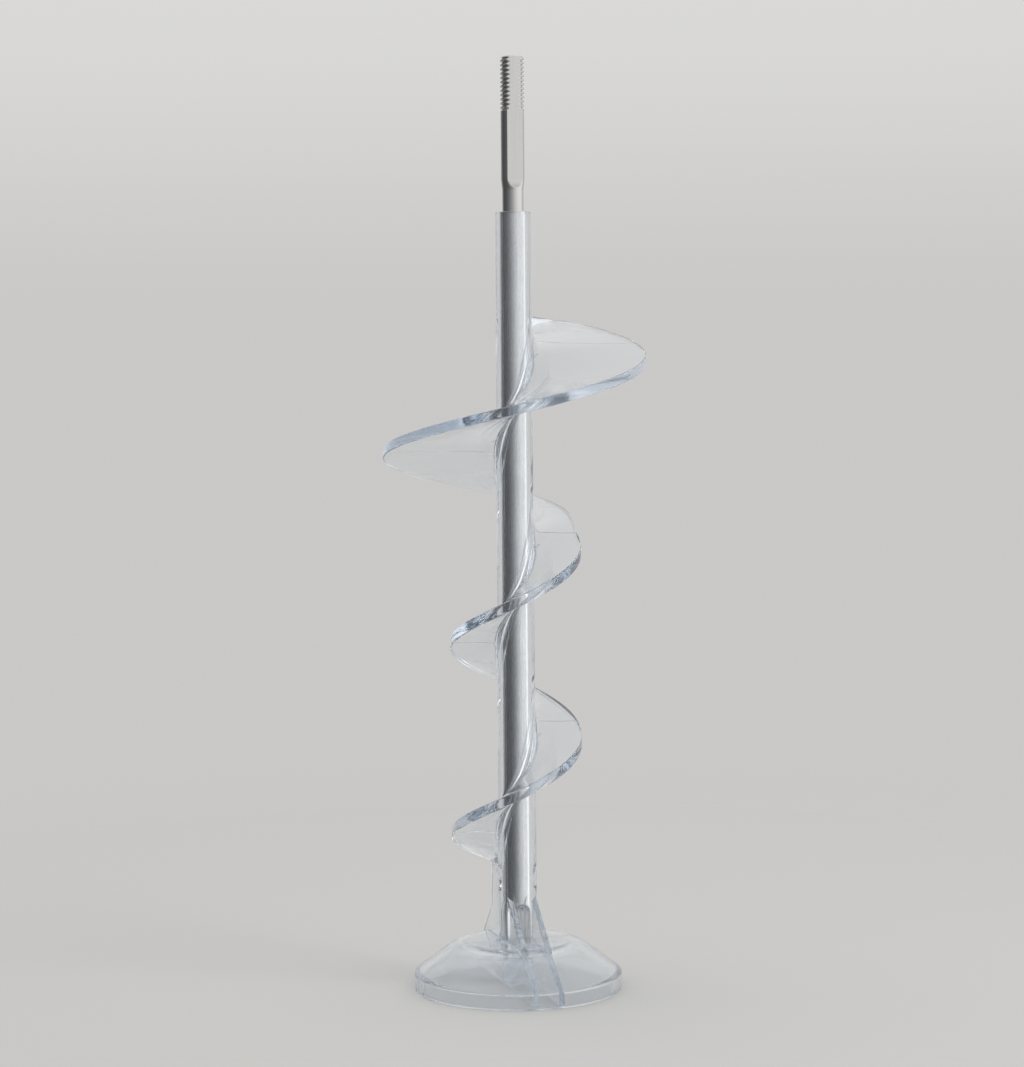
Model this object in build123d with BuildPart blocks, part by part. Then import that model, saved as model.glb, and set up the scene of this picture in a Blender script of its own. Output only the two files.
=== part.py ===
"""Ice maker auger: a clear plastic screw moulded over a steel drive shaft.

Millimetres, +Z up the shaft to its threaded end. The origin is the centre of the foot's
underside, on the shaft's axis, and the auger stands on its foot. The shaft's flats face -Y and +Y.
"""
import math
import os

from build123d import *

# Steel shaft: a round rod, coined to two flats at each end
rod_d = 7.94
coined_d = 8.8
across_flats = 6.35
flat_end_r = 6.0
flat_set_in = 0.8
shoulder_length = 4.0
shaft_bottom_z = 13.6
lower_coined_length = 19.9
neck_length = 8.3
upper_coined_length = 49.7
thread_d = 9.0
thread_length = 20.7
shaft_chamfer = 0.8

# Sleeve: drafted tube moulded on the rod, with the thin gap that the plastic leaves round the steel
sleeve_top_z = 296.0
sleeve_top_d = 13.4
sleeve_base_d = 14.8
sleeve_edge = 0.5
bond_gap = 0.05

# Foot: a dished flange, hollow underneath
foot_d = 79.5
rim_height = 6.35
rim_wall = 3.4
platform_d = 47.4
platform_z = 18.5
dish_wall = 3.0
rim_edge = 0.8
base_edge = 0.5
platform_edge = 1.4
sleeve_root = 1.2

# Hub under the platform, closed below the rod's end, and the pivot pin at its middle
hub_floor = 3.6
pivot_d = 9.6
pivot_lift = 1.0

# Gusset plates: two parallel plates beside the shaft, which go on under the dish as drive ribs
gusset_thickness = 2.2
gusset_spacing = 9.4
gusset_top_z = 36.0
gusset_foot_r = 31.5
rib_lift = 1.0

# Flight: a right-hand helicoid, narrow for its lower turns and wide for the upper one
pitch = 72.4
flight_start_z = 41.7
flight_start_angle = 72.0
narrow_turn = 645.0
ramp_turn = 90.0
wide_turn = 320.0
narrow_d = 50.0
wide_d = 100.0
flight_thickness = 3.9
root_width = 2.8
root_let_in = 0.1
end_corner_r = 12.0

# Helpers of the flight's construction: path radius, trimming margin and overrun, points on the ramp
path_r = 16.0
trim_margin = 2.0
trim_overrun = 12.0
ramp_points = 7

# Derived sizes
foot_r = foot_d / 2
platform_r = platform_d / 2
sleeve_base_r = sleeve_base_d / 2
sleeve_top_r = sleeve_top_d / 2
shaft_neck_z = sleeve_top_z + neck_length
shaft_tip_z = shaft_neck_z + upper_coined_length
hub_bottom_z = shaft_bottom_z - hub_floor
dish_slope = (platform_z - rim_height) / (foot_r - platform_r)
dish_drop = dish_wall * math.hypot(1, dish_slope)


def dish_top(radius):
    """Height of the dish's conical top at a radius."""
    return rim_height + (foot_r - radius) * dish_slope


def dish_under(radius):
    """Height of the dish's conical underside at a radius."""
    return dish_top(radius) - dish_drop


def sleeve_radius(z):
    """Radius of the drafted sleeve at a height."""
    share = (z - platform_z) / (sleeve_top_z - platform_z)
    return sleeve_base_r + (sleeve_top_r - sleeve_base_r) * share


def climb(turn):
    """Height that the flight gains over a turn in degrees."""
    return pitch * turn / 360


def polar(radius, angle):
    """Point in the plan view at a radius and an angle in degrees."""
    turn = math.radians(angle)
    return (radius * math.cos(turn), radius * math.sin(turn))


def shaft_form(grow):
    """Shaft with coined ends, grown on every side: the steel itself, or the hollow it leaves."""
    rod_r = rod_d / 2 + grow
    coined_r = coined_d / 2 + grow
    thread_r = thread_d / 2 + grow
    bottom = shaft_bottom_z - grow
    tip = shaft_tip_z + grow
    lower_end = shaft_bottom_z + lower_coined_length
    thread_start = shaft_tip_z - thread_length
    flat_y = across_flats / 2 + grow
    runout = math.sqrt(flat_end_r**2 - (flat_end_r - rod_r + flat_y) ** 2)
    cut_width = flat_end_r + coined_r

    with BuildPart() as form:
        with BuildSketch(Plane.XZ):
            with BuildLine():
                Polyline(
                    (0, bottom),
                    (coined_r - shaft_chamfer, bottom),
                    (coined_r, bottom + shaft_chamfer),
                    (coined_r, lower_end - shoulder_length),
                    (rod_r, lower_end),
                    (rod_r, shaft_neck_z),
                    (coined_r, shaft_neck_z + shoulder_length),
                    (coined_r, thread_start),
                    (thread_r, thread_start),
                    (thread_r, tip - shaft_chamfer),
                    (thread_r - shaft_chamfer, tip),
                    (0, tip),
                    close=True,
                )
            make_face()
        revolve(axis=Axis.Z)

        # Each coined flat runs out into the shoulder along the rounded edge of the die
        lower_top = lower_end - flat_set_in - runout + flat_end_r
        upper_bottom = shaft_neck_z + flat_set_in + runout - flat_end_r
        for low, high, end_z in (
            (bottom - flat_end_r, lower_top, lower_top),
            (upper_bottom, tip + flat_end_r, upper_bottom),
        ):
            with BuildSketch(Plane.YZ) as flats:
                for side in (-1, 1):
                    with Locations((side * (flat_y + cut_width / 2), (low + high) / 2)):
                        Rectangle(cut_width, high - low)
                near = flats.vertices().sort_by_distance((-flat_y, end_z))[0]
                far = flats.vertices().sort_by_distance((flat_y, end_z))[0]
                fillet([near, far], flat_end_r)
            extrude(amount=coined_d, both=True, mode=Mode.SUBTRACT)
    return form.part


def flight_span(start_turn, turn, trim_face):
    """One stretch of the flight, trimmed by its outline in plan.

    The section, wider towards the sleeve by a bevel on each face, is carried along a helix through
    the turn, and is then placed at its start on the whole flight's helix. It leans with the helix,
    so its root corners lie further from the axis than their place in it, and have to stay inside
    the sleeve.
    """
    rise = climb(turn)
    start_z = flight_start_z + climb(start_turn)
    end_z = flight_start_z + climb(narrow_turn + ramp_turn + wide_turn)
    half = flight_thickness / 2
    root_half = half + root_width
    lean = math.atan2(pitch, 2 * math.pi * path_r)
    core_r = sleeve_radius(end_z) - root_let_in
    root_x = math.sqrt(core_r**2 - (root_half * math.sin(lean)) ** 2) - path_r
    face_x = root_x + root_width
    inner_x = (rod_d / 2 + sleeve_top_r) / 2 - path_r
    outer_x = wide_d / 2 + trim_margin - path_r

    with BuildPart() as span:
        with BuildLine() as path:
            Helix(pitch, rise, path_r)
        section_plane = Plane(origin=path.line @ 0, x_dir=(1, 0, 0), z_dir=path.line % 0)
        with BuildSketch(section_plane):
            with BuildLine():
                Polyline(
                    (inner_x, 0),
                    (inner_x, root_half),
                    (root_x, root_half),
                    (face_x, half),
                    (outer_x, half),
                    (outer_x, 0),
                )
                mirror(about=Plane.XZ)
            make_face()
        sweep(path=path.line, is_frenet=True)
        with BuildSketch(Plane.XY.offset(-pitch)):
            add(trim_face)
        extrude(amount=rise + 2 * pitch, mode=Mode.INTERSECT)

    return span.part.rotate(Axis.Z, flight_start_angle + start_turn).translate((0, 0, start_z))


def narrow_outline():
    """Plan outline of the lower turns: a full disc."""
    with BuildSketch() as outline:
        Circle(narrow_d / 2)
    return outline.sketch


def ramp_outline():
    """Plan outline of the stretch where the flight grows from its narrow to its wide radius."""
    inner = narrow_d / 2
    outer = wide_d / 2
    points = []
    for step in range(ramp_points):
        share = step / (ramp_points - 1)
        eased = (1 - math.cos(math.pi * share)) / 2
        points.append(polar(inner + (outer - inner) * eased, ramp_turn * share))
    with BuildSketch() as outline:
        with BuildLine():
            CenterArc((0, 0), inner, -trim_overrun, trim_overrun)
            Spline(points, tangents=[polar(1, 90), polar(1, ramp_turn + 90)])
            CenterArc((0, 0), outer, ramp_turn, trim_overrun)
            Polyline(polar(outer, ramp_turn + trim_overrun), (0, 0), polar(inner, -trim_overrun))
        make_face()
    return outline.sketch


def wide_outline():
    """Plan outline of the upper turn, cut off along a radius with a rounded corner at its end."""
    outer = wide_d / 2
    with BuildSketch() as outline:
        with BuildLine():
            CenterArc((0, 0), outer, -trim_overrun, wide_turn + trim_overrun)
            Polyline(polar(outer, wide_turn), (0, 0), polar(outer, -trim_overrun))
        make_face()
        fillet(outline.vertices().sort_by_distance(polar(outer, wide_turn))[0], end_corner_r)
    return outline.sketch


# Drive shaft
with BuildPart() as drive_shaft:
    add(shaft_form(0))
drive_shaft.part.label = "drive_shaft"

# Clear moulding: foot, hub and sleeve are one turned form
rim_inner_r = foot_r - rim_wall
under_z = platform_z - dish_wall
cone_inner_r = foot_r - (under_z + dish_drop - rim_height) / dish_slope
with BuildPart() as auger_body:
    with BuildSketch(Plane.XZ) as turned:
        with BuildLine():
            Polyline(
                (0, pivot_lift),
                (pivot_d / 2, pivot_lift),
                (pivot_d / 2, hub_bottom_z),
                (sleeve_base_r, hub_bottom_z),
                (sleeve_base_r, under_z),
                (cone_inner_r, under_z),
                (rim_inner_r, dish_under(rim_inner_r)),
                (rim_inner_r, 0),
                (foot_r, 0),
                (foot_r, rim_height),
                (platform_r, platform_z),
                (sleeve_base_r, platform_z),
                (sleeve_top_r, sleeve_top_z),
                (0, sleeve_top_z),
                close=True,
            )
        make_face()
        for corner, length in (
            ((foot_r, 0), base_edge),
            ((foot_r, rim_height), rim_edge),
            ((platform_r, platform_z), platform_edge),
            ((sleeve_base_r, platform_z), sleeve_root),
            ((sleeve_top_r, sleeve_top_z), sleeve_edge),
        ):
            chamfer(turned.vertices().sort_by_distance(corner)[0], length)
    revolve(axis=Axis.Z)

    # Gusset plates on both sides of the shaft, with their drive ribs in the hollow of the dish
    rib_end = foot_r - rim_wall / 2
    plate_points = (
        (0, gusset_top_z),
        (gusset_spacing / 2, gusset_top_z),
        (gusset_foot_r, dish_top(gusset_foot_r) - dish_drop / 2),
        (rib_end, dish_top(rib_end) - dish_drop / 2),
        (rib_end, rib_lift),
        (0, rib_lift),
    )
    for side in (-1, 1):
        plate_face = side * gusset_spacing / 2 - gusset_thickness / 2
        with BuildSketch(Plane.YZ.offset(plate_face)):
            with BuildLine():
                Polyline(plate_points)
                mirror(about=Plane.YZ)
            make_face()
        extrude(amount=gusset_thickness)

    # Flight: three stretches end to end along one helix
    add(flight_span(0, narrow_turn, narrow_outline()))
    add(flight_span(narrow_turn, ramp_turn, ramp_outline()))
    add(flight_span(narrow_turn + ramp_turn, wide_turn + trim_overrun, wide_outline()))

    # Hollow left by the rod and its coined end
    add(shaft_form(bond_gap), mode=Mode.SUBTRACT)
auger_body.part.label = "auger_body"

os.makedirs("parts", exist_ok=True)
export_step(drive_shaft.part, "parts/drive_shaft.step")
export_step(auger_body.part, "parts/auger_body.step")
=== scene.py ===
"""Ice maker auger: a clear plastic screw moulded over a steel drive shaft, on a pale studio floor.

Sizes of the pieces are in millimetres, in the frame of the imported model: the shaft's axis is +Z and
the foot stands on z = 0. Surfaces are worked out as whole arrays and become meshes in metres. Sizes in
finishes, lamps and the floor's material are in metres, as their shaders read them.
"""
import logging
import math
from dataclasses import dataclass, field
from enum import Enum

import bmesh
import bpy
import numpy as np
from mathutils import Matrix, Vector


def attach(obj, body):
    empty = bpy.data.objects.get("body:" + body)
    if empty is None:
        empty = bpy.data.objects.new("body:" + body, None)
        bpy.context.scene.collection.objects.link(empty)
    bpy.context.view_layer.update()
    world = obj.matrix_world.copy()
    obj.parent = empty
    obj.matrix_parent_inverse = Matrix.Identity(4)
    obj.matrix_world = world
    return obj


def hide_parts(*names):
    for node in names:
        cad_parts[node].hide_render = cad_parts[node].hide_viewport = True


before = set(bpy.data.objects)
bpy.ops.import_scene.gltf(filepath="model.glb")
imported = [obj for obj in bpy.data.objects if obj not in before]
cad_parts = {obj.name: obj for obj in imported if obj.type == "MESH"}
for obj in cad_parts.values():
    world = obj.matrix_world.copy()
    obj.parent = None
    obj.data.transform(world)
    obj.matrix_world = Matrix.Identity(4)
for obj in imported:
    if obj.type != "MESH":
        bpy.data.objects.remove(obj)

LOG = logging.getLogger("auger")
MM = 0.001
FULL_TURN = 360.0
QUARTER = np.pi / 2

# Edges that bend more than this, in degrees, stay sharp
CREASE = 32.0

# Points closer than the first, in metres, are one point, and edges shorter than the second are dropped
WELD = 2e-6
SLIVER = 1e-7

# Slack in comparing angles, and the smallest sine that is divided by
TINY = 1e-6

Colour = tuple[float, float, float, float]
Range = tuple[float, float]
Triple = tuple[float, float, float]
Socket = bpy.types.NodeSocket


class Side(Enum):
    """Side of the shaft on which a gusset plate stands, as the sign of its x."""

    LEFT = -1
    RIGHT = 1


class Slot(Enum):
    """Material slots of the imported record."""

    STEEL = "shaft_steel"
    PLASTIC = "clear_plastic"


class Join(Enum):
    """Ways in which a tool is combined with a piece."""

    ADD = "UNION"
    CUT = "DIFFERENCE"


def smooth(share: np.ndarray) -> np.ndarray:
    """Eases a share from 0 to 1 with level ends: half of one minus the cosine of a half turn."""
    return (1 - np.cos(np.pi * share)) / 2


def spaced(low: np.ndarray, high: np.ndarray, count: int) -> np.ndarray:
    """Points from low to high that crowd towards both ends.

    Args:
        low: start values, one per column.
        high: end values, one per column.
        count: number of rows, both ends included.

    Returns:
        Array of count rows, one column per start value.
    """
    share = smooth(np.linspace(0, 1, count))[:, None]
    return low + (high - low) * share


def rounded(corners: list[Triple], steps: int = 12, guard: float = 0.2) -> np.ndarray:
    """Polyline whose corners are arcs, with a guard point on each side of an arc to keep flats flat.

    Between two sides with an angle of 2h, an arc of radius q touches both at q / tan(h) from the corner.
    Its points are the weighted sums of its first and last radius that turn evenly from one to the other.

    Args:
        corners: points as (radius, height, corner radius), the first and last of which stay sharp.
        steps: points on each arc.
        guard: distance of the guard points from the arc's ends.

    Returns:
        Array of points (radius, height).
    """
    points = [np.array(corners[0][:2])]
    for before, here, after in zip(corners, corners[1:], corners[2:]):
        corner = np.array(here[:2])
        back = np.array(before[:2]) - corner
        on = np.array(after[:2]) - corner
        back, on = back / np.linalg.norm(back), on / np.linalg.norm(on)
        half = math.acos(float(np.clip(back @ on, -1, 1))) / 2
        reach = here[2] / math.tan(half)
        middle = (back + on) / np.linalg.norm(back + on)
        centre = corner + middle * here[2] / math.sin(half)
        first = corner + back * reach - centre
        last = corner + on * reach - centre
        spread = math.pi - 2 * half
        share = np.linspace(0, 1, steps)[:, None]
        arc = (np.sin((1 - share) * spread) * first + np.sin(share * spread) * last) / math.sin(spread)
        points.append(corner + back * (reach + guard))
        points.append(centre + arc)
        points.append(corner + on * (reach + guard))
    points.append(np.array(corners[-1][:2]))
    return np.vstack([np.atleast_2d(p) for p in points])


def wrapped(radius: np.ndarray, angle: np.ndarray, height: np.ndarray) -> np.ndarray:
    """Points at a radius and a height, turned about the axis by angles in degrees.

    Args:
        radius: radii, rows by columns or one per row.
        angle: angles of the columns.
        height: heights, rows by columns or one per row.

    Returns:
        Grid of points, rows by columns.
    """
    turn = np.radians(angle)
    return np.stack([radius * np.cos(turn), radius * np.sin(turn), height + 0 * turn], -1)


def turned(profile: np.ndarray, angles: np.ndarray) -> np.ndarray:
    """Surface of revolution: each profile point goes round the axis through the given angles.

    Args:
        profile: points (radius, height).
        angles: angles in degrees.

    Returns:
        Grid of points, profile rows by angle columns.
    """
    return wrapped(profile[:, :1], angles, profile[:, 1:])


class Shell:
    """A skin put together from grids whose borders meet."""

    def __init__(self) -> None:
        """Starts with no points and no faces."""
        self.points: list[np.ndarray] = []
        self.quads: list[np.ndarray] = []
        self.count = 0

    def add(self, grid: np.ndarray, ring: bool = False) -> None:
        """Adds a grid of points as quads between neighbouring rows and columns.

        Args:
            grid: rows by columns by three coordinates, in millimetres.
            ring: True if the last column joins the first.
        """
        rows, columns = grid.shape[:2]
        index = np.arange(rows * columns).reshape(rows, columns) + self.count
        if ring:
            index = np.hstack([index, index[:, :1]])
        quads = np.stack([index[:-1, :-1], index[:-1, 1:], index[1:, 1:], index[1:, :-1]], -1)
        self.points.append(grid.reshape(-1, 3))
        self.quads.append(quads.reshape(-1, 4))
        self.count += rows * columns

    def mesh(self, name: str) -> bpy.types.Mesh:
        """Joins the grids into one mesh, with doubled points merged and faces outwards.

        Args:
            name: name of the mesh.

        Returns:
            The new mesh, in metres.
        """
        made = bpy.data.meshes.new(name)
        made.from_pydata(np.vstack(self.points) * MM, [], np.vstack(self.quads))
        work = bmesh.new()
        work.from_mesh(made)
        bmesh.ops.remove_doubles(work, verts=work.verts, dist=WELD)
        bmesh.ops.dissolve_degenerate(work, edges=work.edges, dist=SLIVER)
        bmesh.ops.recalc_face_normals(work, faces=work.faces)
        work.to_mesh(made)
        work.free()
        return made


def placed(mesh: bpy.types.Mesh, name: str) -> bpy.types.Object:
    """Puts a mesh into the scene as an object at the origin.

    Args:
        mesh: the finished mesh.
        name: name of the object.

    Returns:
        The new object.
    """
    piece = bpy.data.objects.new(name, mesh)
    bpy.context.scene.collection.objects.link(piece)
    return piece


def combined(base: bpy.types.Object, tool: bpy.types.Object, join: Join) -> None:
    """Joins a closed tool to a closed base, or cuts it out, and removes the tool.

    Args:
        base: object whose mesh is changed.
        tool: object that is added or cut away.
        join: which of the two is done.
    """
    step = base.modifiers.new("combine", "BOOLEAN")
    step.operation = join.value
    step.solver = "MANIFOLD"
    step.object = tool
    bpy.context.view_layer.update()
    finished = base.evaluated_get(bpy.context.evaluated_depsgraph_get())
    made = bpy.data.meshes.new_from_object(finished)
    base.modifiers.clear()
    base.data = made
    bpy.data.objects.remove(tool)


def shade(mesh: bpy.types.Mesh) -> None:
    """Shades a mesh smoothly, with a crease at each edge that bends sharply.

    Args:
        mesh: the mesh, which is changed.
    """
    mesh.polygons.foreach_set("use_smooth", np.ones(len(mesh.polygons), bool))
    mesh.set_sharp_from_angle(angle=math.radians(CREASE))
    mesh.update()


@dataclass(frozen=True)
class Grain:
    """Noise pattern of a finish: patches to the metre, layers of detail and the layers' strength."""

    scale: float
    detail: float
    strength: float = 0.5


class Graph:
    """Shorthand for building a node tree."""

    def __init__(self, tree: bpy.types.NodeTree) -> None:
        """Empties the tree and keeps it."""
        self.tree = tree
        tree.nodes.clear()

    def node(self, kind: str, inputs: dict | None = None, **settings: object) -> bpy.types.Node:
        """Adds a node, sets its properties and fills or links its inputs.

        Args:
            kind: type name of the node.
            inputs: input name or number to a value, or to an output socket that is linked.
            settings: properties of the node.

        Returns:
            The new node.
        """
        made = self.tree.nodes.new(kind)
        for name, value in settings.items():
            setattr(made, name, value)
        for name, value in (inputs or {}).items():
            if isinstance(value, Socket):
                self.tree.links.new(value, made.inputs[name])
            else:
                made.inputs[name].default_value = value
        return made

    def math(self, operation: str, first: object, second: object = 0.0, clamp: bool = False) -> Socket:
        """Adds a Math node and returns its output."""
        made = self.node("ShaderNodeMath", {0: first, 1: second}, operation=operation, use_clamp=clamp)
        return made.outputs[0]

    def span(self, value: object, source: Range, start: float, end: float) -> Socket:
        """Carries a value from a range to the numbers from start to end, eased and held at the ends.

        Args:
            value: the value or its socket.
            source: range of the value.
            start: number at the range's low end.
            end: number at its high end.

        Returns:
            Socket with the number.
        """
        made = self.node(
            "ShaderNodeMapRange",
            {"Value": value, "From Min": source[0], "From Max": source[1], "To Min": start, "To Max": end},
            interpolation_type="SMOOTHSTEP",
        )
        return made.outputs["Result"]

    def blend(self, share: object, first: object, second: object) -> Socket:
        """Mixes two colours by a share.

        Args:
            share: part of the second colour, or its socket.
            first: colour or socket at 0.
            second: colour or socket at 1.

        Returns:
            Socket with the mixed colour.
        """
        made = self.node("ShaderNodeMix", {"Factor": share}, data_type="RGBA")
        for name, value in (("A", first), ("B", second)):
            socket = [s for s in made.inputs if s.name == name and s.type == "RGBA"][0]
            if isinstance(value, Socket):
                self.tree.links.new(value, socket)
            else:
                socket.default_value = value
        return [s for s in made.outputs if s.type == "RGBA"][0]

    def noise(self, place: Socket, grain: Grain) -> Socket:
        """Adds a noise pattern and returns its value."""
        made = self.node(
            "ShaderNodeTexNoise",
            {"Vector": place, "Scale": grain.scale, "Detail": grain.detail, "Roughness": grain.strength},
        )
        return made.outputs["Fac"]


@dataclass(frozen=True)
class ClearPlastic:
    """Clear moulding: refracting, a little hazy, faintly blue in depth.

    The foot is hazier than the screw. A witness line of the mould, a fine ridge in the plane y = 0, runs
    up the moulding.
    """

    tint: Colour = (0.965, 0.982, 1.0, 1.0)
    depth_tint: Colour = (0.50, 0.64, 0.80, 1.0)
    lamp_tint: Colour = (0.95, 0.96, 0.97, 1.0)
    density: float = 10.0
    ior: float = 1.5
    clearness: float = 0.98
    haze: Grain = Grain(160.0, 5.0, 0.6)
    haze_range: Range = (0.35, 0.75)
    clear_roughness: float = 0.03
    hazy_roughness: float = 0.09
    foot_roughness: float = 0.05
    foot_top: Range = (0.017, 0.021)
    flow: Grain = Grain(45.0, 2.0, 0.45)
    flow_height: float = 0.00005
    line_width: float = 0.00022
    line_height: float = 0.00025
    line_root: float = 0.0098
    flight_low_z: float = 0.02722
    flight_pitch: float = 0.0724

    def witness_line(self, graph: Graph, place: bpy.types.Node) -> Socket:
        """Height of the witness line, as a share of its full height.

        On the flight the line shows on the upper face right of the shaft and on the lower face left of it.
        Both lie in the first half of the climb from where the flight's middle crosses the line's plane on
        the right, so the line is hidden in the second half of each climb.

        Args:
            graph: graph of the material.
            place: node with the three coordinates.

        Returns:
            Socket with the share.
        """
        line = graph.span(graph.math("ABSOLUTE", place.outputs["Y"]), (0.0, self.line_width), 1.0, 0.0)
        above = graph.math("SUBTRACT", place.outputs["Z"], self.flight_low_z)
        climb = graph.math("DIVIDE", graph.math("MAXIMUM", above, 0.0), self.flight_pitch)
        second_half = graph.math("GREATER_THAN", graph.math("FRACT", climb), 0.5)
        aside = graph.math("ABSOLUTE", place.outputs["X"])
        on_flight = graph.math("GREATER_THAN", aside, self.line_root)
        hidden = graph.math("MULTIPLY", on_flight, second_half)
        return graph.math("SUBTRACT", line, hidden, clamp=True)

    def material(self) -> bpy.types.Material:
        """Builds the node material.

        Returns:
            The new material.
        """
        made = bpy.data.materials.new("clear_plastic_polished")
        made.use_nodes = True
        graph = Graph(made.node_tree)
        place = graph.node("ShaderNodeTexCoord").outputs["Object"]
        parts = graph.node("ShaderNodeSeparateXYZ", {0: place})
        haze = graph.noise(place, self.haze)
        dull = graph.span(haze, self.haze_range, self.clear_roughness, self.hazy_roughness)
        foot = graph.span(parts.outputs["Z"], self.foot_top, self.foot_roughness, 0.0)
        wave = graph.node(
            "ShaderNodeBump",
            {"Strength": 1.0, "Distance": self.flow_height, "Height": graph.noise(place, self.flow)},
        )
        ridge = graph.node(
            "ShaderNodeBump",
            {
                "Strength": 1.0,
                "Distance": self.line_height,
                "Height": self.witness_line(graph, parts),
                "Normal": wave.outputs["Normal"],
            },
        )
        skin = graph.node(
            "ShaderNodeBsdfPrincipled",
            {
                "Base Color": self.tint,
                "Roughness": graph.math("ADD", dull, foot),
                "IOR": self.ior,
                "Transmission Weight": self.clearness,
                "Normal": ridge.outputs["Normal"],
            },
        )

        # Lamps shine through the clear walls to what lies behind them
        to_lamp = graph.node("ShaderNodeLightPath").outputs["Is Shadow Ray"]
        let_through = graph.node("ShaderNodeBsdfTransparent", {"Color": self.lamp_tint})
        surface = graph.node(
            "ShaderNodeMixShader",
            {0: to_lamp, 1: skin.outputs["BSDF"], 2: let_through.outputs["BSDF"]},
        )
        depth = graph.node(
            "ShaderNodeVolumeAbsorption", {"Color": self.depth_tint, "Density": self.density}
        )
        graph.node(
            "ShaderNodeOutputMaterial",
            {"Surface": surface.outputs["Shader"], "Volume": depth.outputs["Volume"]},
        )
        return made


@dataclass(frozen=True)
class DrawnSteel:
    """Bright drawn steel bar with fine lines along it, duller where it stands out of the plastic."""

    bright: Colour = (0.64, 0.64, 0.645, 1.0)
    worn: Colour = (0.56, 0.56, 0.565, 1.0)
    bare: Colour = (0.57, 0.57, 0.57, 1.0)
    bare_from: Range = (0.296, 0.297)
    bare_dulling: float = 0.12
    lines: Grain = Grain(2600.0, 3.0, 0.6)
    line_stretch: Triple = (1.0, 1.0, 0.02)
    line_range: Range = (0.3, 0.7)
    roughest: float = 0.30
    smoothest: float = 0.20
    patches: Grain = Grain(90.0, 4.0)
    wear_range: Range = (0.12, 0.42)
    scratch_height: float = 0.000005
    scratch_strength: float = 0.5

    def material(self) -> bpy.types.Material:
        """Builds the node material.

        Returns:
            The new material.
        """
        made = bpy.data.materials.new("drawn_steel_bar")
        made.use_nodes = True
        graph = Graph(made.node_tree)
        place = graph.node("ShaderNodeTexCoord").outputs["Object"]
        lengthwise = graph.node("ShaderNodeMapping", {"Vector": place, "Scale": self.line_stretch})
        lines = graph.noise(lengthwise.outputs["Vector"], self.lines)
        wear = graph.math("MULTIPLY", graph.noise(place, self.patches), lines)
        tone = graph.blend(graph.span(wear, self.wear_range, 0.0, 1.0), self.worn, self.bright)
        dull = graph.span(lines, self.line_range, self.roughest, self.smoothest)
        height = graph.node("ShaderNodeSeparateXYZ", {0: place}).outputs["Z"]
        exposed = graph.span(height, self.bare_from, 0.0, 1.0)
        tone = graph.blend(exposed, tone, self.bare)
        dull = graph.math("ADD", dull, graph.math("MULTIPLY", exposed, self.bare_dulling))
        scratch = graph.node(
            "ShaderNodeBump",
            {"Strength": self.scratch_strength, "Distance": self.scratch_height, "Height": lines},
        )
        skin = graph.node(
            "ShaderNodeBsdfPrincipled",
            {"Base Color": tone, "Metallic": 1.0, "Roughness": dull, "Normal": scratch.outputs["Normal"]},
        )
        graph.node("ShaderNodeOutputMaterial", {"Surface": skin.outputs["BSDF"]})
        return made


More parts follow.
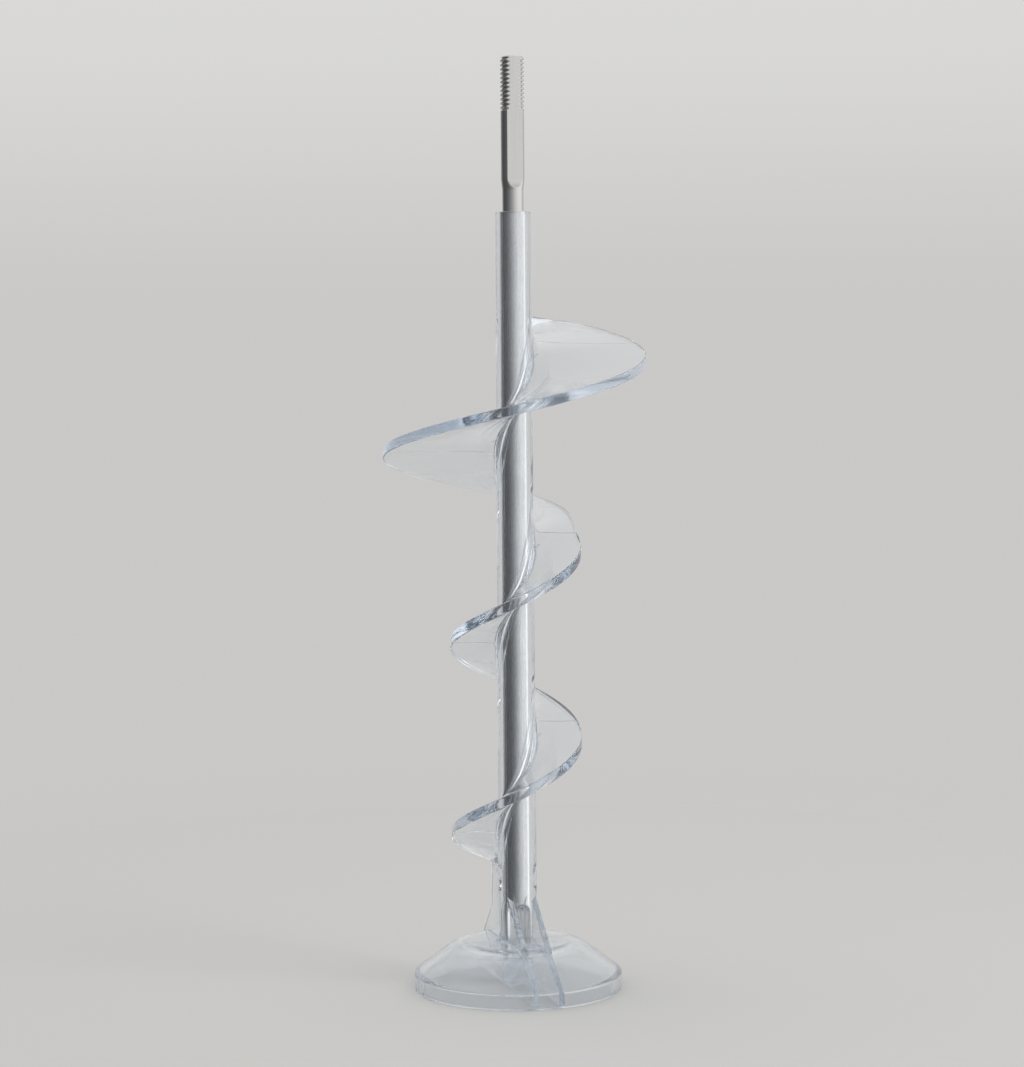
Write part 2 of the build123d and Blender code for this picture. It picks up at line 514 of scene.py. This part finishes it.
@dataclass
class DriveShaft:
    """Round steel rod, coined to two flats at each end, with a screw thread on its tip."""

    rod_r: float = 3.97
    coined_r: float = 4.4
    flat_y: float = 3.175
    flat_end_r: float = 6.0
    flat_set_in: float = 0.8
    shoulder: float = 4.0
    bottom_z: float = 13.6
    lower_coined: float = 19.9
    neck_z: float = 304.3
    tip_z: float = 354.0
    thread_length: float = 20.7
    thread_r: float = 4.5
    thread_depth: float = 0.75
    thread_pitch: float = 1.5875
    tooth_height: float = 1.35
    tooth_slope: float = 3.375
    chamfer: float = 0.8

    # Columns over each flat and each round side, and how near to the coined radius a flat's distance may
    # come in placing them, as a share
    flat_columns: int = 14
    round_columns: int = 34
    flat_limit: float = 0.95

    # Rows of each stretch from the bottom to the tip, and how far the dense stretches reach: over a
    # run-out, onto the plain rod and below the thread
    row_counts: tuple[int, ...] = (4, 6, 22, 40, 24, 8, 190)
    runout_reach: float = 6.0
    rod_margin: float = 1.0
    thread_margin: float = 0.5
    finish: DrawnSteel = field(default_factory=DrawnSteel)

    @property
    def lower_end(self) -> float:
        """Height at which the lower coined end passes into the plain rod."""
        return self.bottom_z + self.lower_coined

    @property
    def thread_start(self) -> float:
        """Height at which the screw thread starts."""
        return self.tip_z - self.thread_length

    def round_radius(self, z: np.ndarray) -> np.ndarray:
        """Radius of the turned form: rod, with a cone up to each coined end and a chamfer at both tips.

        Args:
            z: heights.

        Returns:
            Radius at each height.
        """
        stations = [
            self.bottom_z, self.bottom_z + self.chamfer, self.lower_end - self.shoulder, self.lower_end,
            self.neck_z, self.neck_z + self.shoulder, self.tip_z - self.chamfer, self.tip_z,
        ]
        end, tip = self.coined_r, self.coined_r - self.chamfer
        return np.interp(z, stations, [tip, end, end, self.rod_r, self.rod_r, end, end, tip])

    def flat_distance(self, z: np.ndarray) -> np.ndarray:
        """Distance of the flats from the axis: level along the coined ends, with an arc at the run-out.

        Args:
            z: heights.

        Returns:
            Distance at each height.
        """
        offset = self.flat_end_r - (self.rod_r - self.flat_y)
        runout = math.sqrt(self.flat_end_r**2 - offset**2)
        lower = self.lower_end - self.flat_set_in - runout
        upper = self.neck_z + self.flat_set_in + runout
        into = np.clip(np.minimum(z - lower, upper - z), 0, self.flat_end_r)
        return self.flat_y + self.flat_end_r - np.sqrt(self.flat_end_r**2 - into**2)

    def thread(self, z: np.ndarray, turn: np.ndarray) -> np.ndarray:
        """Radius of the screw thread, which climbs by one pitch in each turn.

        Across one pitch the tooth is a peak with straight flanks, cut off level at its crest and root. It
        grows over the first pitch and fades again in the chamfer.

        Args:
            z: heights of the rows.
            turn: angles in radians, rows by columns.

        Returns:
            Radii, rows by columns.
        """
        phase = ((z - self.tip_z) / self.thread_pitch - turn / (2 * np.pi)) % 1.0
        tooth = np.clip(self.tooth_height - self.tooth_slope * np.abs(phase - 0.5), 0, 1)
        grown = np.clip((z - self.thread_start) / self.thread_pitch, 0, 1)
        lead = grown * np.clip((self.tip_z - z) / self.chamfer, 0, 1)
        crest = self.coined_r + (self.thread_r - self.coined_r) * lead
        return crest - self.thread_depth * lead * (1 - tooth)

    def surface(self, grow: float, heights: np.ndarray, threaded: bool) -> np.ndarray:
        """Skin of the shaft: at each height the smaller of the round radius and the flats' distance.

        The columns follow the edges between flats and round: one part of them is shared out over
        each flat and the other over each round side.

        Args:
            grow: amount by which the form is larger on every side.
            heights: heights of the rows.
            threaded: True to cut the screw thread.

        Returns:
            Grid of points, with a pole at each end.
        """
        z = heights[:, None]
        flat = self.flat_distance(z)
        edge = np.arcsin(np.clip(flat / self.coined_r, self.flat_y / self.coined_r, self.flat_limit))
        side = np.linspace(-1, 1, self.round_columns, endpoint=False)[None]
        face = np.linspace(0, 1, self.flat_columns, endpoint=False)[None]
        quarter = [side * edge, edge + face * (np.pi - 2 * edge)]
        turn = np.hstack([*quarter, quarter[0] + np.pi, quarter[1] + np.pi])
        radius = self.round_radius(z) + 0 * turn
        if threaded:
            limit = radius + self.thread_r - self.coined_r
            radius = np.where(z > self.thread_start, np.minimum(self.thread(z, turn), limit), radius)
        across = flat / np.maximum(np.abs(np.sin(turn)), TINY)
        radius = np.minimum(radius, across) + grow
        grid = np.stack([radius * np.cos(turn), radius * np.sin(turn), z + 0 * turn], -1)
        poles = np.zeros((2, 1, grid.shape[1], 3))
        poles[0, ..., 2], poles[1, ..., 2] = heights[0], heights[-1]
        return np.concatenate([poles[0], grid, poles[1]])

    def rows(self) -> np.ndarray:
        """Heights of the rows: dense on shoulders, run-outs and thread, and far apart on the plain rod.

        Returns:
            Heights in rising order.
        """
        stations = [
            self.bottom_z, self.bottom_z + self.chamfer,
            self.lower_end - self.runout_reach, self.lower_end + self.rod_margin,
            self.neck_z - self.rod_margin, self.neck_z + self.runout_reach,
            self.thread_start - self.thread_margin, self.tip_z,
        ]
        stretches = zip(stations, stations[1:], self.row_counts)
        return np.unique(np.concatenate([np.linspace(*stretch) for stretch in stretches]).round(4))

    def hollow(self, gap: float, top_z: float) -> bpy.types.Object:
        """Closed form of the hollow that the shaft leaves in the plastic.

        Args:
            gap: width of the gap round the steel.
            top_z: height at which the form ends, on the plain rod.

        Returns:
            The tool object for the cut.
        """
        rows = self.rows()
        grid = self.surface(gap, np.append(rows[rows < top_z], top_z), False)
        grid[:2, :, 2] -= gap
        shell = Shell()
        shell.add(grid, ring=True)
        return placed(shell.mesh("hollow"), "hollow")

    def build(self) -> bpy.types.Object:
        """Makes the steel piece, dresses it and lets it stand for its node.

        Returns:
            The finished piece.
        """
        shell = Shell()
        shell.add(self.surface(0.0, self.rows(), True), ring=True)
        piece = placed(shell.mesh("steel_shaft"), "steel_shaft")
        shade(piece.data)
        piece.data.materials.append(self.finish.material())
        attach(piece, "root")
        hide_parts("drive_shaft")
        return piece


@dataclass
class ClearScrew:
    """Clear moulding: dished foot, drafted sleeve, gusset plates and the helical flight."""

    # Sleeve, and the gap that it leaves round the rod
    sleeve_top_z: float = 296.0
    sleeve_top_r: float = 6.7
    sleeve_base_r: float = 7.4
    sleeve_edge_r: float = 0.6
    sleeve_end_r: float = 5.5
    sleeve_root_r: float = 1.5
    bond_gap: float = 0.05
    hollow_overrun: float = 4.0

    # Foot, hollow underneath, with its hub and pivot pin
    foot_r: float = 39.75
    rim_height: float = 6.35
    rim_wall: float = 3.4
    platform_r: float = 23.7
    platform_z: float = 18.5
    dish_wall: float = 3.0
    rim_edge_r: float = 1.0
    base_edge_r: float = 0.6
    inner_base_edge_r: float = 0.4
    inner_rim_root_r: float = 0.8
    platform_edge_r: float = 13.0
    hub_bottom_z: float = 10.0
    hub_root_r: float = 0.8
    hub_edge_r: float = 0.5
    pivot_r: float = 4.8
    pivot_lift: float = 1.0
    pivot_root_r: float = 0.6
    pivot_edge_r: float = 0.8

    # Gusset plates, and the web between the left one and the flight's first turn
    gusset_thickness: float = 2.2
    gusset_spacing: float = 9.4
    gusset_top_z: float = 36.0
    gusset_foot_r: float = 31.5
    gusset_edge_r: float = 0.3
    gusset_edge_steps: int = 3
    rib_lift: float = 1.0
    web_y: float = 14.8
    web_foot_z: float = 30.0

    # Flight
    pitch: float = 72.4
    start_z: float = 41.7
    start_angle: float = 72.0
    narrow_turn: float = 645.0
    ramp_turn: float = 90.0
    wide_turn: float = 320.0
    narrow_r: float = 25.0
    wide_r: float = 50.0
    half_thickness: float = 1.95
    section_r: float = 16.0
    root_r: float = 2.4
    rim_round: float = 0.45
    end_corner_r: float = 12.0

    # Columns round the axis, rows of fillets, faces, edges, rim and plain sleeve, points on the web's top
    angle_step: float = 2.5
    corner_columns: int = 22
    corner_gap: float = 0.5
    fillet_rows: int = 12
    face_rows: int = 16
    edge_rows: int = 6
    rim_rows: int = 4
    sleeve_rows: int = 9
    sleeve_root_rows: int = 8
    web_points: int = 6
    finish: ClearPlastic = field(default_factory=ClearPlastic)

    @property
    def run(self) -> float:
        """Angle through which the whole flight goes."""
        return self.narrow_turn + self.ramp_turn + self.wide_turn

    @property
    def end_angle(self) -> float:
        """Unrolled angle at which the flight ends."""
        return self.start_angle + self.run

    @property
    def dish_slope(self) -> float:
        """Fall of the dish's conical top for each millimetre outwards."""
        return (self.platform_z - self.rim_height) / (self.foot_r - self.platform_r)

    @property
    def dish_drop(self) -> float:
        """Upright thickness of the dish's wall."""
        return self.dish_wall * math.hypot(1, self.dish_slope)

    @property
    def corner_spread(self) -> float:
        """Angle in degrees over which the rounded corner at the flight's end reaches."""
        return math.degrees(math.asin(self.end_corner_r / (self.wide_r - self.end_corner_r)))

    def dish_top(self, radius: float) -> float:
        """Height of the dish's conical top at a radius."""
        return self.rim_height + (self.foot_r - radius) * self.dish_slope

    def flight_z(self, angle: np.ndarray) -> np.ndarray:
        """Height of the flight's middle: a straight climb with the unrolled angle."""
        return self.start_z + self.pitch * (angle - self.start_angle) / FULL_TURN

    def sleeve_r(self, z: np.ndarray | float) -> np.ndarray | float:
        """Radius of the drafted sleeve at a height."""
        share = (z - self.platform_z) / (self.sleeve_top_z - self.platform_z)
        return self.sleeve_base_r + (self.sleeve_top_r - self.sleeve_base_r) * share

    def flight_r(self, angle: np.ndarray) -> np.ndarray:
        """Outer radius of the flight: narrow, an eased ramp, wide, and the rounded corner at the end.

        In the corner the radius is the far crossing of a ray from the axis with the corner's circle,
        whose centre lies one corner radius inside both the rim and the end.

        Args:
            angle: unrolled angles.

        Returns:
            Radius at each angle.
        """
        ramp = np.clip((angle - self.start_angle - self.narrow_turn) / self.ramp_turn, 0, 1)
        radius = self.narrow_r + (self.wide_r - self.narrow_r) * smooth(ramp)
        centre = self.wide_r - self.end_corner_r
        turn = np.radians(np.clip(angle - self.end_angle + self.corner_spread, 0, None))
        under = np.clip(self.end_corner_r**2 - (centre * np.sin(turn)) ** 2, 0, None)
        corner = centre * np.cos(turn) + np.sqrt(under)
        return np.where(turn > 0, np.minimum(radius, corner), radius)

    def offsets(self) -> np.ndarray:
        """Angles of one turn from the flight's start, finer where the end's corner is round.

        Returns:
            Angles in degrees, in rising order.
        """
        last = self.run % FULL_TURN
        fine = last - self.corner_spread * (1 - np.linspace(0, 1, self.corner_columns)) ** 2
        plain = np.arange(0, FULL_TURN, self.angle_step)
        plain = plain[(plain <= fine[0] - self.corner_gap) | (plain >= last)]
        return np.unique(np.concatenate([plain, fine]).round(6))

    def angles(self) -> np.ndarray:
        """Unrolled angles of the flight's columns, which repeat from turn to turn.

        Returns:
            Angles in degrees, in rising order.
        """
        turns = np.arange(math.ceil(self.run / FULL_TURN))[:, None] * FULL_TURN
        run = (turns + self.offsets()[None]).ravel()
        return self.start_angle + run[run <= self.run + TINY]

    def lower_edge(self, angle: np.ndarray) -> np.ndarray:
        """Height on the sleeve where the strip of one turn meets the turn below it.

        It climbs evenly from the sleeve's root at the flight's start to the sleeve's top a turn past
        the flight's end.

        Args:
            angle: unrolled angles.

        Returns:
            Height at each angle.
        """
        low = self.platform_z + self.sleeve_root_r
        high = self.sleeve_top_z - self.sleeve_edge_r
        share = (angle - self.start_angle) / (self.run + FULL_TURN)
        return low + (high - low) * share

    def section(self, angle: np.ndarray, outer: np.ndarray) -> tuple[np.ndarray, np.ndarray]:
        """Radius and height of the strip's rows in the upright half planes through the axis.

        The rows go up the sleeve, round the lower root fillet, out along the underside, round the
        rim's two edges, in along the top, round the upper fillet and on up the sleeve. A flat helical
        slab of half thickness t, square to its helix at the section's radius, stands t times the
        cosine of the helix angle plus its sine times climb per radian over radius away from its middle.

        Args:
            angle: unrolled angles of the columns.
            outer: flight's outer radius in each column.

        Returns:
            Radii and heights, rows by columns.
        """
        middle = self.flight_z(angle)[None]
        climb = self.pitch / (2 * math.pi)
        lead = math.atan(climb / self.section_r)
        core = self.sleeve_r(middle)
        bend = np.linspace(0, QUARTER, self.fillet_rows)[:, None]
        root_radius = core + self.root_r * (1 - np.cos(bend))
        root_depth = self.half_thickness + self.root_r * (1 - np.sin(bend))
        rim = outer[None]
        face_radius = spaced(core + self.root_r, rim - self.rim_round, self.face_rows)[1:-1]
        edge_turn = np.linspace(0, QUARTER, self.edge_rows)[:, None]
        edge_radius = rim - self.rim_round * (1 - np.sin(edge_turn))
        edge_depth = self.half_thickness - self.rim_round * (1 - np.cos(edge_turn))
        edge_depth = edge_depth + 0 * edge_radius
        rim_depth = spaced(edge_depth[-1:], 0 * edge_depth[-1:], self.rim_rows)[1:]
        radius = np.vstack([root_radius, face_radius, edge_radius, rim + 0 * rim_depth])
        depth = np.vstack([
            root_depth + 0 * core, self.half_thickness + 0 * face_radius, edge_depth, rim_depth,
        ])
        rise = depth * (math.cos(lead) + climb / radius * math.sin(lead))
        bump_radius = np.vstack([radius, radius[-2::-1]])
        bump_z = middle + np.vstack([-rise, rise[-2::-1]])
        low_z = spaced(self.lower_edge(angle)[None], bump_z[:1], self.sleeve_rows)[:-1]
        high_z = spaced(bump_z[-1:], self.lower_edge(angle + FULL_TURN)[None], self.sleeve_rows)[1:]
        z = np.vstack([low_z, bump_z, high_z])
        r = np.vstack([self.sleeve_r(low_z), bump_radius, self.sleeve_r(high_z)])
        return r, z

    def closed_column(self, angle: float) -> tuple[np.ndarray, np.ndarray]:
        """Rows of the strip with the flight drawn in to the sleeve, as at the flight's two ends.

        Args:
            angle: unrolled angle of the column.

        Returns:
            Radii and heights, one column each.
        """
        column = np.array([angle])
        _, z = self.section(column, self.flight_r(column))
        plain = self.sleeve_rows - 1
        bump = z[plain:-plain, 0]
        z[plain:-plain, 0] = np.linspace(bump[0], bump[-1], len(bump))
        return self.sleeve_r(z), z

    def skin(self) -> Shell:
        """Outer skin: strips of the sleeve with the flight, wedges above and below them, foot and top.

        Returns:
            The closed skin.
        """
        angles = self.angles()
        r, z = self.section(angles, self.flight_r(angles))
        first_r, first_z = self.closed_column(angles[0])
        last_r, last_z = self.closed_column(angles[-1])
        r, z = np.hstack([first_r, r, last_r]), np.hstack([first_z, z, last_z])
        shell = Shell()
        shell.add(wrapped(r, np.concatenate([angles[:1], angles, angles[-1:]]), z))

        # Wedge of plain sleeve under the first turn, nothing at its start and a full strip at its end
        lower = angles[angles <= self.start_angle + FULL_TURN + TINY]
        share = (first_z - first_z[0]) / (first_z[-1] - first_z[0])
        wedge_z = first_z[0] + (self.lower_edge(lower)[None] - first_z[0]) * share
        shell.add(wrapped(self.sleeve_r(wedge_z), lower, wedge_z))

        # Wedge above the last turn, the other way round
        upper = angles[angles >= self.end_angle - FULL_TURN - TINY]
        share = (last_z - last_z[0]) / (last_z[-1] - last_z[0])
        edge = self.lower_edge(upper + FULL_TURN)[None]
        wedge_z = edge + (last_z[-1] - edge) * share
        shell.add(wrapped(self.sleeve_r(wedge_z), upper, wedge_z))

        ring = self.start_angle + self.offsets()
        shell.add(turned(self.foot_profile(), ring), ring=True)
        shell.add(turned(self.top_profile(), ring), ring=True)
        return shell

    def top_profile(self) -> np.ndarray:
        """Profile of the sleeve's top: a quarter circle at the edge, then the flat end to the axis.

        Returns:
            Points (radius, height).
        """
        low = self.sleeve_top_z - self.sleeve_edge_r
        bend = np.linspace(0, QUARTER, self.edge_rows)
        arc_r = self.sleeve_r(low) - self.sleeve_edge_r * (1 - np.cos(bend))
        arc_z = low + self.sleeve_edge_r * np.sin(bend)
        end = [[self.sleeve_end_r, self.sleeve_top_z], [0, self.sleeve_top_z]]
        return np.vstack([np.stack([arc_r, arc_z], -1), end])

    def foot_profile(self) -> np.ndarray:
        """Profile of platform, dish, rim, hollow underside, hub and pivot pin, from sleeve to axis.

        It starts with a quarter circle at the sleeve's root and goes on as straight lines with rounded
        corners.

        Returns:
            Points (radius, height).
        """
        root_z = self.platform_z + self.sleeve_root_r
        root_r = self.sleeve_r(root_z)
        inner_rim = self.foot_r - self.rim_wall
        under_z = self.platform_z - self.dish_wall
        inner_cone = self.foot_r - (under_z + self.dish_drop - self.rim_height) / self.dish_slope
        bend = np.linspace(0, QUARTER, self.sleeve_root_rows)
        arc_r = root_r + self.sleeve_root_r * (1 - np.cos(bend))
        arc_z = root_z - self.sleeve_root_r * np.sin(bend)
        rest = rounded([
            (root_r + self.sleeve_root_r, self.platform_z, 0),
            (self.platform_r, self.platform_z, self.platform_edge_r),
            (self.foot_r, self.rim_height, self.rim_edge_r),
            (self.foot_r, 0, self.base_edge_r),
            (inner_rim, 0, self.inner_base_edge_r),
            (inner_rim, self.dish_top(inner_rim) - self.dish_drop, self.inner_rim_root_r),
            (inner_cone, under_z, self.platform_edge_r - self.dish_wall),
            (self.sleeve_base_r, under_z, self.hub_root_r),
            (self.sleeve_base_r, self.hub_bottom_z, self.hub_edge_r),
            (self.pivot_r, self.hub_bottom_z, self.pivot_root_r),
            (self.pivot_r, self.pivot_lift, self.pivot_edge_r),
            (0, self.pivot_lift, 0),
        ])
        return np.vstack([np.stack([arc_r, arc_z], -1), rest[1:]])

    def web_edge(self, x: float) -> np.ndarray:
        """Back edge of a plate that carries the flight: out along the flight's middle, then straight down.

        Args:
            x: place of the plate's middle.

        Returns:
            Points (y, z) in the plate's plane.
        """
        y = np.linspace(self.gusset_spacing / 2, self.web_y, self.web_points)
        z = self.flight_z(np.degrees(np.arctan2(y, x)))
        return np.vstack([np.column_stack([y, z]), [[self.web_y, self.web_foot_z]]])

    def plate(self, side: Side) -> bpy.types.Object:
        """Gusset plate beside the shaft, which goes on under the dish as a drive rib.

        Its outline in the upright plane is mirrored about the axis and pushed through its thickness.
        The left plate also rises behind the sleeve to the underside of the flight's first turn.

        Args:
            side: which side of the shaft the plate is on.

        Returns:
            The plate as a closed tool object.
        """
        rib_end = self.foot_r - self.rim_wall / 2
        half_drop = self.dish_drop / 2
        middle = side.value * self.gusset_spacing / 2
        slope = np.array([
            (self.gusset_foot_r, self.dish_top(self.gusset_foot_r) - half_drop),
            (rib_end, self.dish_top(rib_end) - half_drop),
            (rib_end, self.rib_lift),
        ])
        top = np.array([(self.gusset_spacing / 2, self.gusset_top_z)])
        front = np.vstack([top, slope])[::-1] * (-1, 1)
        back = np.vstack([self.web_edge(middle) if side is Side.LEFT else top, slope])
        outline = np.vstack([back, front])
        count = len(outline)
        faces = [
            np.column_stack([np.full(count, middle + way * self.gusset_thickness / 2), outline])
            for way in (-1, 1)
        ]
        ring = np.arange(count)
        after = (ring + 1) % count
        walls = np.stack([ring, after, after + count, ring + count], -1)
        sides = [*walls.tolist(), ring.tolist(), (ring + count).tolist()]
        mesh = bpy.data.meshes.new("plate")
        mesh.from_pydata(np.vstack(faces) * MM, [], sides)
        work = bmesh.new()
        work.from_mesh(mesh)
        bmesh.ops.recalc_face_normals(work, faces=work.faces)
        bmesh.ops.bevel(
            work, geom=work.edges, offset=self.gusset_edge_r * MM, segments=self.gusset_edge_steps,
            profile=0.5, affect="EDGES",
        )
        work.to_mesh(mesh)
        work.free()
        return placed(mesh, "plate_" + side.name.lower())

    def build(self, shaft: DriveShaft) -> bpy.types.Object:
        """Makes the clear piece, cuts the shaft's hollow, dresses it and lets it stand for its node.

        Args:
            shaft: the steel shaft, whose grown form is the hollow.

        Returns:
            The finished piece.
        """
        piece = placed(self.skin().mesh("clear_screw"), "clear_screw")
        for side in Side:
            combined(piece, self.plate(side), Join.ADD)
        hollow = shaft.hollow(self.bond_gap, self.sleeve_top_z + self.hollow_overrun)
        combined(piece, hollow, Join.CUT)
        piece.data.name = "clear_screw"
        shade(piece.data)
        piece.data.materials.clear()
        piece.data.materials.append(self.finish.material())
        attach(piece, "root")
        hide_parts("auger_body")
        return piece


def bent_ray(graph: Graph) -> Socket:
    """Tells, as 1 or 0, whether a ray comes from metal's reflection or through the plastic."""
    path = graph.node("ShaderNodeLightPath")
    return graph.math("MAXIMUM", path.outputs["Is Glossy Ray"], path.outputs["Is Transmission Ray"])


@dataclass(frozen=True)
class SoftLamp:
    """Square lamp aimed at the object's middle, which neither metal nor plastic shows as a patch."""

    name: str
    at: Triple
    size: float
    watts: float
    aim: Triple = (0.0, 0.0, 0.16)

    def build(self) -> None:
        """Adds the lamp to the scene."""
        data = bpy.data.lights.new(self.name, "AREA")
        data.shape = "SQUARE"
        data.size = self.size
        data.energy = self.watts
        lamp = bpy.data.objects.new(self.name, data)
        way = Vector(self.aim) - Vector(self.at)
        turn = way.to_track_quat("-Z", "Y").to_matrix().to_4x4()
        lamp.matrix_world = Matrix.Translation(self.at) @ turn
        lamp.visible_glossy = False
        lamp.visible_transmission = False
        bpy.context.scene.collection.objects.link(lamp)


@dataclass
class Studio:
    """Pale floor, soft lamps, pale surroundings and the camera."""

    # Camera: place and sensor in millimetres, focal length and long side in pixels, clipping in metres
    camera_at: Triple = (-326.353, -1002.269, 248.919)
    camera_right: Triple = (0.951042, -0.308983, -0.007001)
    camera_up: Triple = (0.028395, 0.064795, 0.997495)
    focal_px: float = 2781.73
    image_long_px: float = 1067.0
    sensor: float = 36.0
    clip: Range = (0.05, 50.0)

    # Floor: radii and the stretches over which it fades in metres, its height in millimetres
    matt: Colour = (0.505, 0.501, 0.493, 1.0)
    floor_r: float = 0.6
    floor_first_r: float = 0.05
    floor_rings: int = 24
    floor_step: float = 5.0
    floor_z: float = -0.05
    fade: Range = (0.16, 0.6)
    bent_fade: Range = (0.04, 0.16)

    # Surroundings: angles in radians from the front, heights as sines
    paper: Colour = (0.585, 0.580, 0.570, 1.0)
    sky: Colour = (0.695, 0.690, 0.680, 1.0)
    sky_height: Range = (0.0, 0.12)
    dim: Colour = (0.07, 0.072, 0.078, 1.0)
    glow: Colour = (1.28, 1.27, 1.25, 1.0)
    room_turn: Range = (-1.9, 1.25)
    room_height: Range = (-0.25, 0.06)
    low_steepness: float = 3.7
    high_steepness: float = 1.6
    back_turn: Range = (1.9, 2.5)
    back_offset: float = 0.15
    overhead_height: Range = (0.4, 0.85)
    lamps: tuple[SoftLamp, ...] = (
        SoftLamp("key_lamp", (0.9, -0.9, 1.5), 0.7, 12.0),
        SoftLamp("top_lamp", (-0.2, 0.3, 1.8), 1.0, 10.0),
    )
    bounces: int = 24

    def camera(self) -> None:
        """Sets the camera where the photograph was taken from."""
        data = bpy.data.cameras.new("camera")
        data.sensor_width = self.sensor
        data.lens = self.focal_px / self.image_long_px * data.sensor_width
        data.clip_start, data.clip_end = self.clip
        right, up = Vector(self.camera_right), Vector(self.camera_up)
        back = right.cross(up)
        turn = Matrix((right, up, back)).transposed().to_4x4()
        eye = bpy.data.objects.new("camera", data)
        eye.matrix_world = Matrix.Translation(Vector(self.camera_at) * MM) @ turn
        bpy.context.scene.collection.objects.link(eye)
        bpy.context.scene.camera = eye

    def floor(self) -> None:
        """Makes the round floor, whose far part fades into the surroundings.

        Rays that come from metal or through the plastic lose it closer to the foot.
        """
        rings = np.geomspace(self.floor_first_r, self.floor_r, self.floor_rings)
        radii = np.concatenate([[0.0], rings]) / MM
        profile = np.stack([radii, np.full_like(radii, self.floor_z)], -1)
        shell = Shell()
        shell.add(turned(profile, np.arange(0, FULL_TURN, self.floor_step)), ring=True)
        piece = placed(shell.mesh("floor"), "floor")
        made = bpy.data.materials.new("floor_paper")
        made.use_nodes = True
        graph = Graph(made.node_tree)
        place = graph.node("ShaderNodeTexCoord").outputs["Object"]
        away = graph.node("ShaderNodeVectorMath", {0: place}, operation="LENGTH").outputs["Value"]
        matt = graph.node("ShaderNodeBsdfDiffuse", {"Color": self.matt})
        gone = graph.node("ShaderNodeBsdfTransparent")
        far = graph.span(away, self.fade, 0.0, 1.0)
        bent_far = graph.math("MULTIPLY", graph.span(away, self.bent_fade, 0.0, 1.0), bent_ray(graph))
        share = graph.math("MAXIMUM", far, bent_far)
        both = graph.node("ShaderNodeMixShader", {0: share, 1: matt.outputs[0], 2: gone.outputs[0]})
        graph.node("ShaderNodeOutputMaterial", {"Surface": both.outputs[0]})
        piece.data.materials.append(made)

    def surroundings(self) -> None:
        """Pale world that metal and plastic see as a room: dim on the camera's left, bright on its right.

        The room's tone rises with the angle about the axis from the camera's left round to its right, as
        a power of the way between, and the power is higher for rays that point downwards. Overhead,
        underneath and behind the object it is the same pale paper as the background.
        """
        world = bpy.data.worlds.new("studio")
        bpy.context.scene.world = world
        world.use_nodes = True
        graph = Graph(world.node_tree)
        way = graph.node("ShaderNodeTexCoord").outputs["Generated"]
        right = Vector((self.camera_right[0], self.camera_right[1], 0)).normalized()
        up = Vector((0, 0, 1))

        def along(aim: Vector) -> Socket:
            """Cosine between a ray and a direction."""
            made = graph.node("ShaderNodeVectorMath", {0: way, 1: aim}, operation="DOT_PRODUCT")
            return made.outputs["Value"]

        turn = graph.math("ARCTAN2", along(right), along(right.cross(up)))
        height = along(up)
        steepness = graph.span(height, self.room_height, self.low_steepness, self.high_steepness)
        share = graph.math("POWER", graph.span(turn, self.room_turn, 0.0, 1.0), steepness)
        room = graph.blend(share, self.dim, self.glow)
        backdrop = graph.blend(graph.span(height, self.sky_height, 0.0, 1.0), self.paper, self.sky)
        aside = graph.math("ABSOLUTE", graph.math("ADD", turn, self.back_offset))
        behind = graph.span(aside, self.back_turn, 0.0, 1.0)
        overhead = graph.span(graph.math("ABSOLUTE", height), self.overhead_height, 0.0, 1.0)
        room = graph.blend(graph.math("MAXIMUM", behind, overhead), room, backdrop)
        depth = graph.node("ShaderNodeLightPath").outputs["Glossy Depth"]
        colour = graph.blend(graph.math("MINIMUM", depth, 1.0), backdrop, room)
        light = graph.node("ShaderNodeBackground", {"Color": colour, "Strength": 1.0})
        graph.node("ShaderNodeOutputWorld", {"Surface": light.outputs[0]})

    def build(self) -> None:
        """Makes floor, surroundings, lamps and camera."""
        self.floor()
        self.surroundings()
        for lamp in self.lamps:
            lamp.build()
        self.camera()
        scene = bpy.context.scene
        scene.view_settings.view_transform = "Standard"

        # Light runs along inside the clear walls for many reflections before it comes out
        scene.cycles.max_bounces = self.bounces
        scene.cycles.glossy_bounces = self.bounces
        scene.cycles.transmission_bounces = self.bounces


def corners(box: tuple[Vector, Vector]) -> list[list[float]]:
    """A box as plain lists of numbers."""
    return [[float(value) for value in corner] for corner in box]


def main() -> None:
    """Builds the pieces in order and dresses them."""
    logging.basicConfig(level=logging.INFO, format="%(name)s: %(message)s")
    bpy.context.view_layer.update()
    shaft = DriveShaft()
    for piece in (shaft.build(), ClearScrew().build(shaft)):
        LOG.info("%s: %d faces", piece.name, len(piece.data.polygons))
    Studio().build()


if __name__ == "__main__":
    main()
